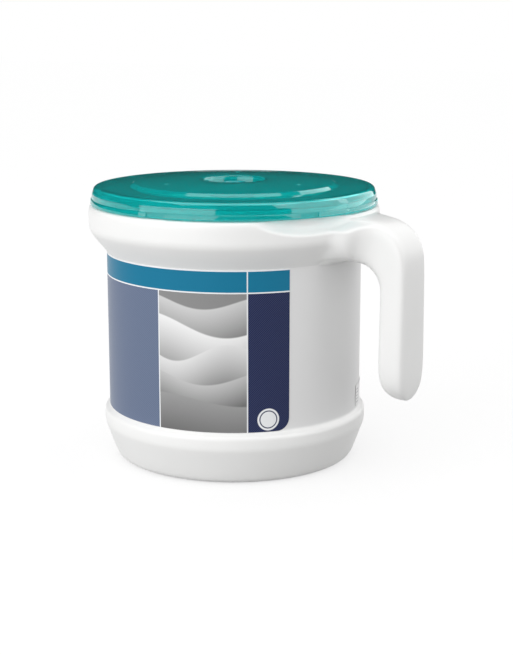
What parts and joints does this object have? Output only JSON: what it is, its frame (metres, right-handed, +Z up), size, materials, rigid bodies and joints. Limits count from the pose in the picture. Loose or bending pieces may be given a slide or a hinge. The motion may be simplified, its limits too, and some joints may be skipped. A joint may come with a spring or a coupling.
{
  "type": "paper towel dispenser",
  "caption": "Portable centre-feed paper towel dispenser: a white bucket with a hook handle, a clear teal push-on lid with a turning nozzle, and a roll inside.",
  "frame": {"origin": "on the bucket's axis, at the flat foot it stands on", "axes": "+X towards the handle, +Z up along the bucket's axis"},
  "size_m": [0.2727, 0.228, 0.2193],
  "materials": {
    "bucket_white": "white blow-moulded polyethylene, satin",
    "printed_film": "printed self-adhesive film in blues and greys",
    "plain_film": "plain white self-adhesive film",
    "tissue": "matt soft tissue, wound",
    "lid_teal": "glossy translucent teal, injection moulded",
    "nozzle_teal": "glossy teal, injection moulded"
  },
  "bodies": {
    "body": {"bucket": "bucket_white", "front_label": "printed_film", "rear_label": "plain_film", "paper_roll": "tissue"},
    "lid": {"lid": "lid_teal"},
    "nozzle": {"nozzle": "nozzle_teal", "nozzle_clip": "nozzle_teal"}
  },
  "joints": [
    {"name": "lid_lift", "type": "slide", "parent": "body", "child": "lid", "axis": [0, 0, 1], "range_m": [0, 0.06]},
    {"name": "nozzle_turn", "type": "hinge", "parent": "lid", "child": "nozzle", "pos_m": [0, 0, 0.2101], "axis": [0, 0, 1], "continuous": true}
  ]
}
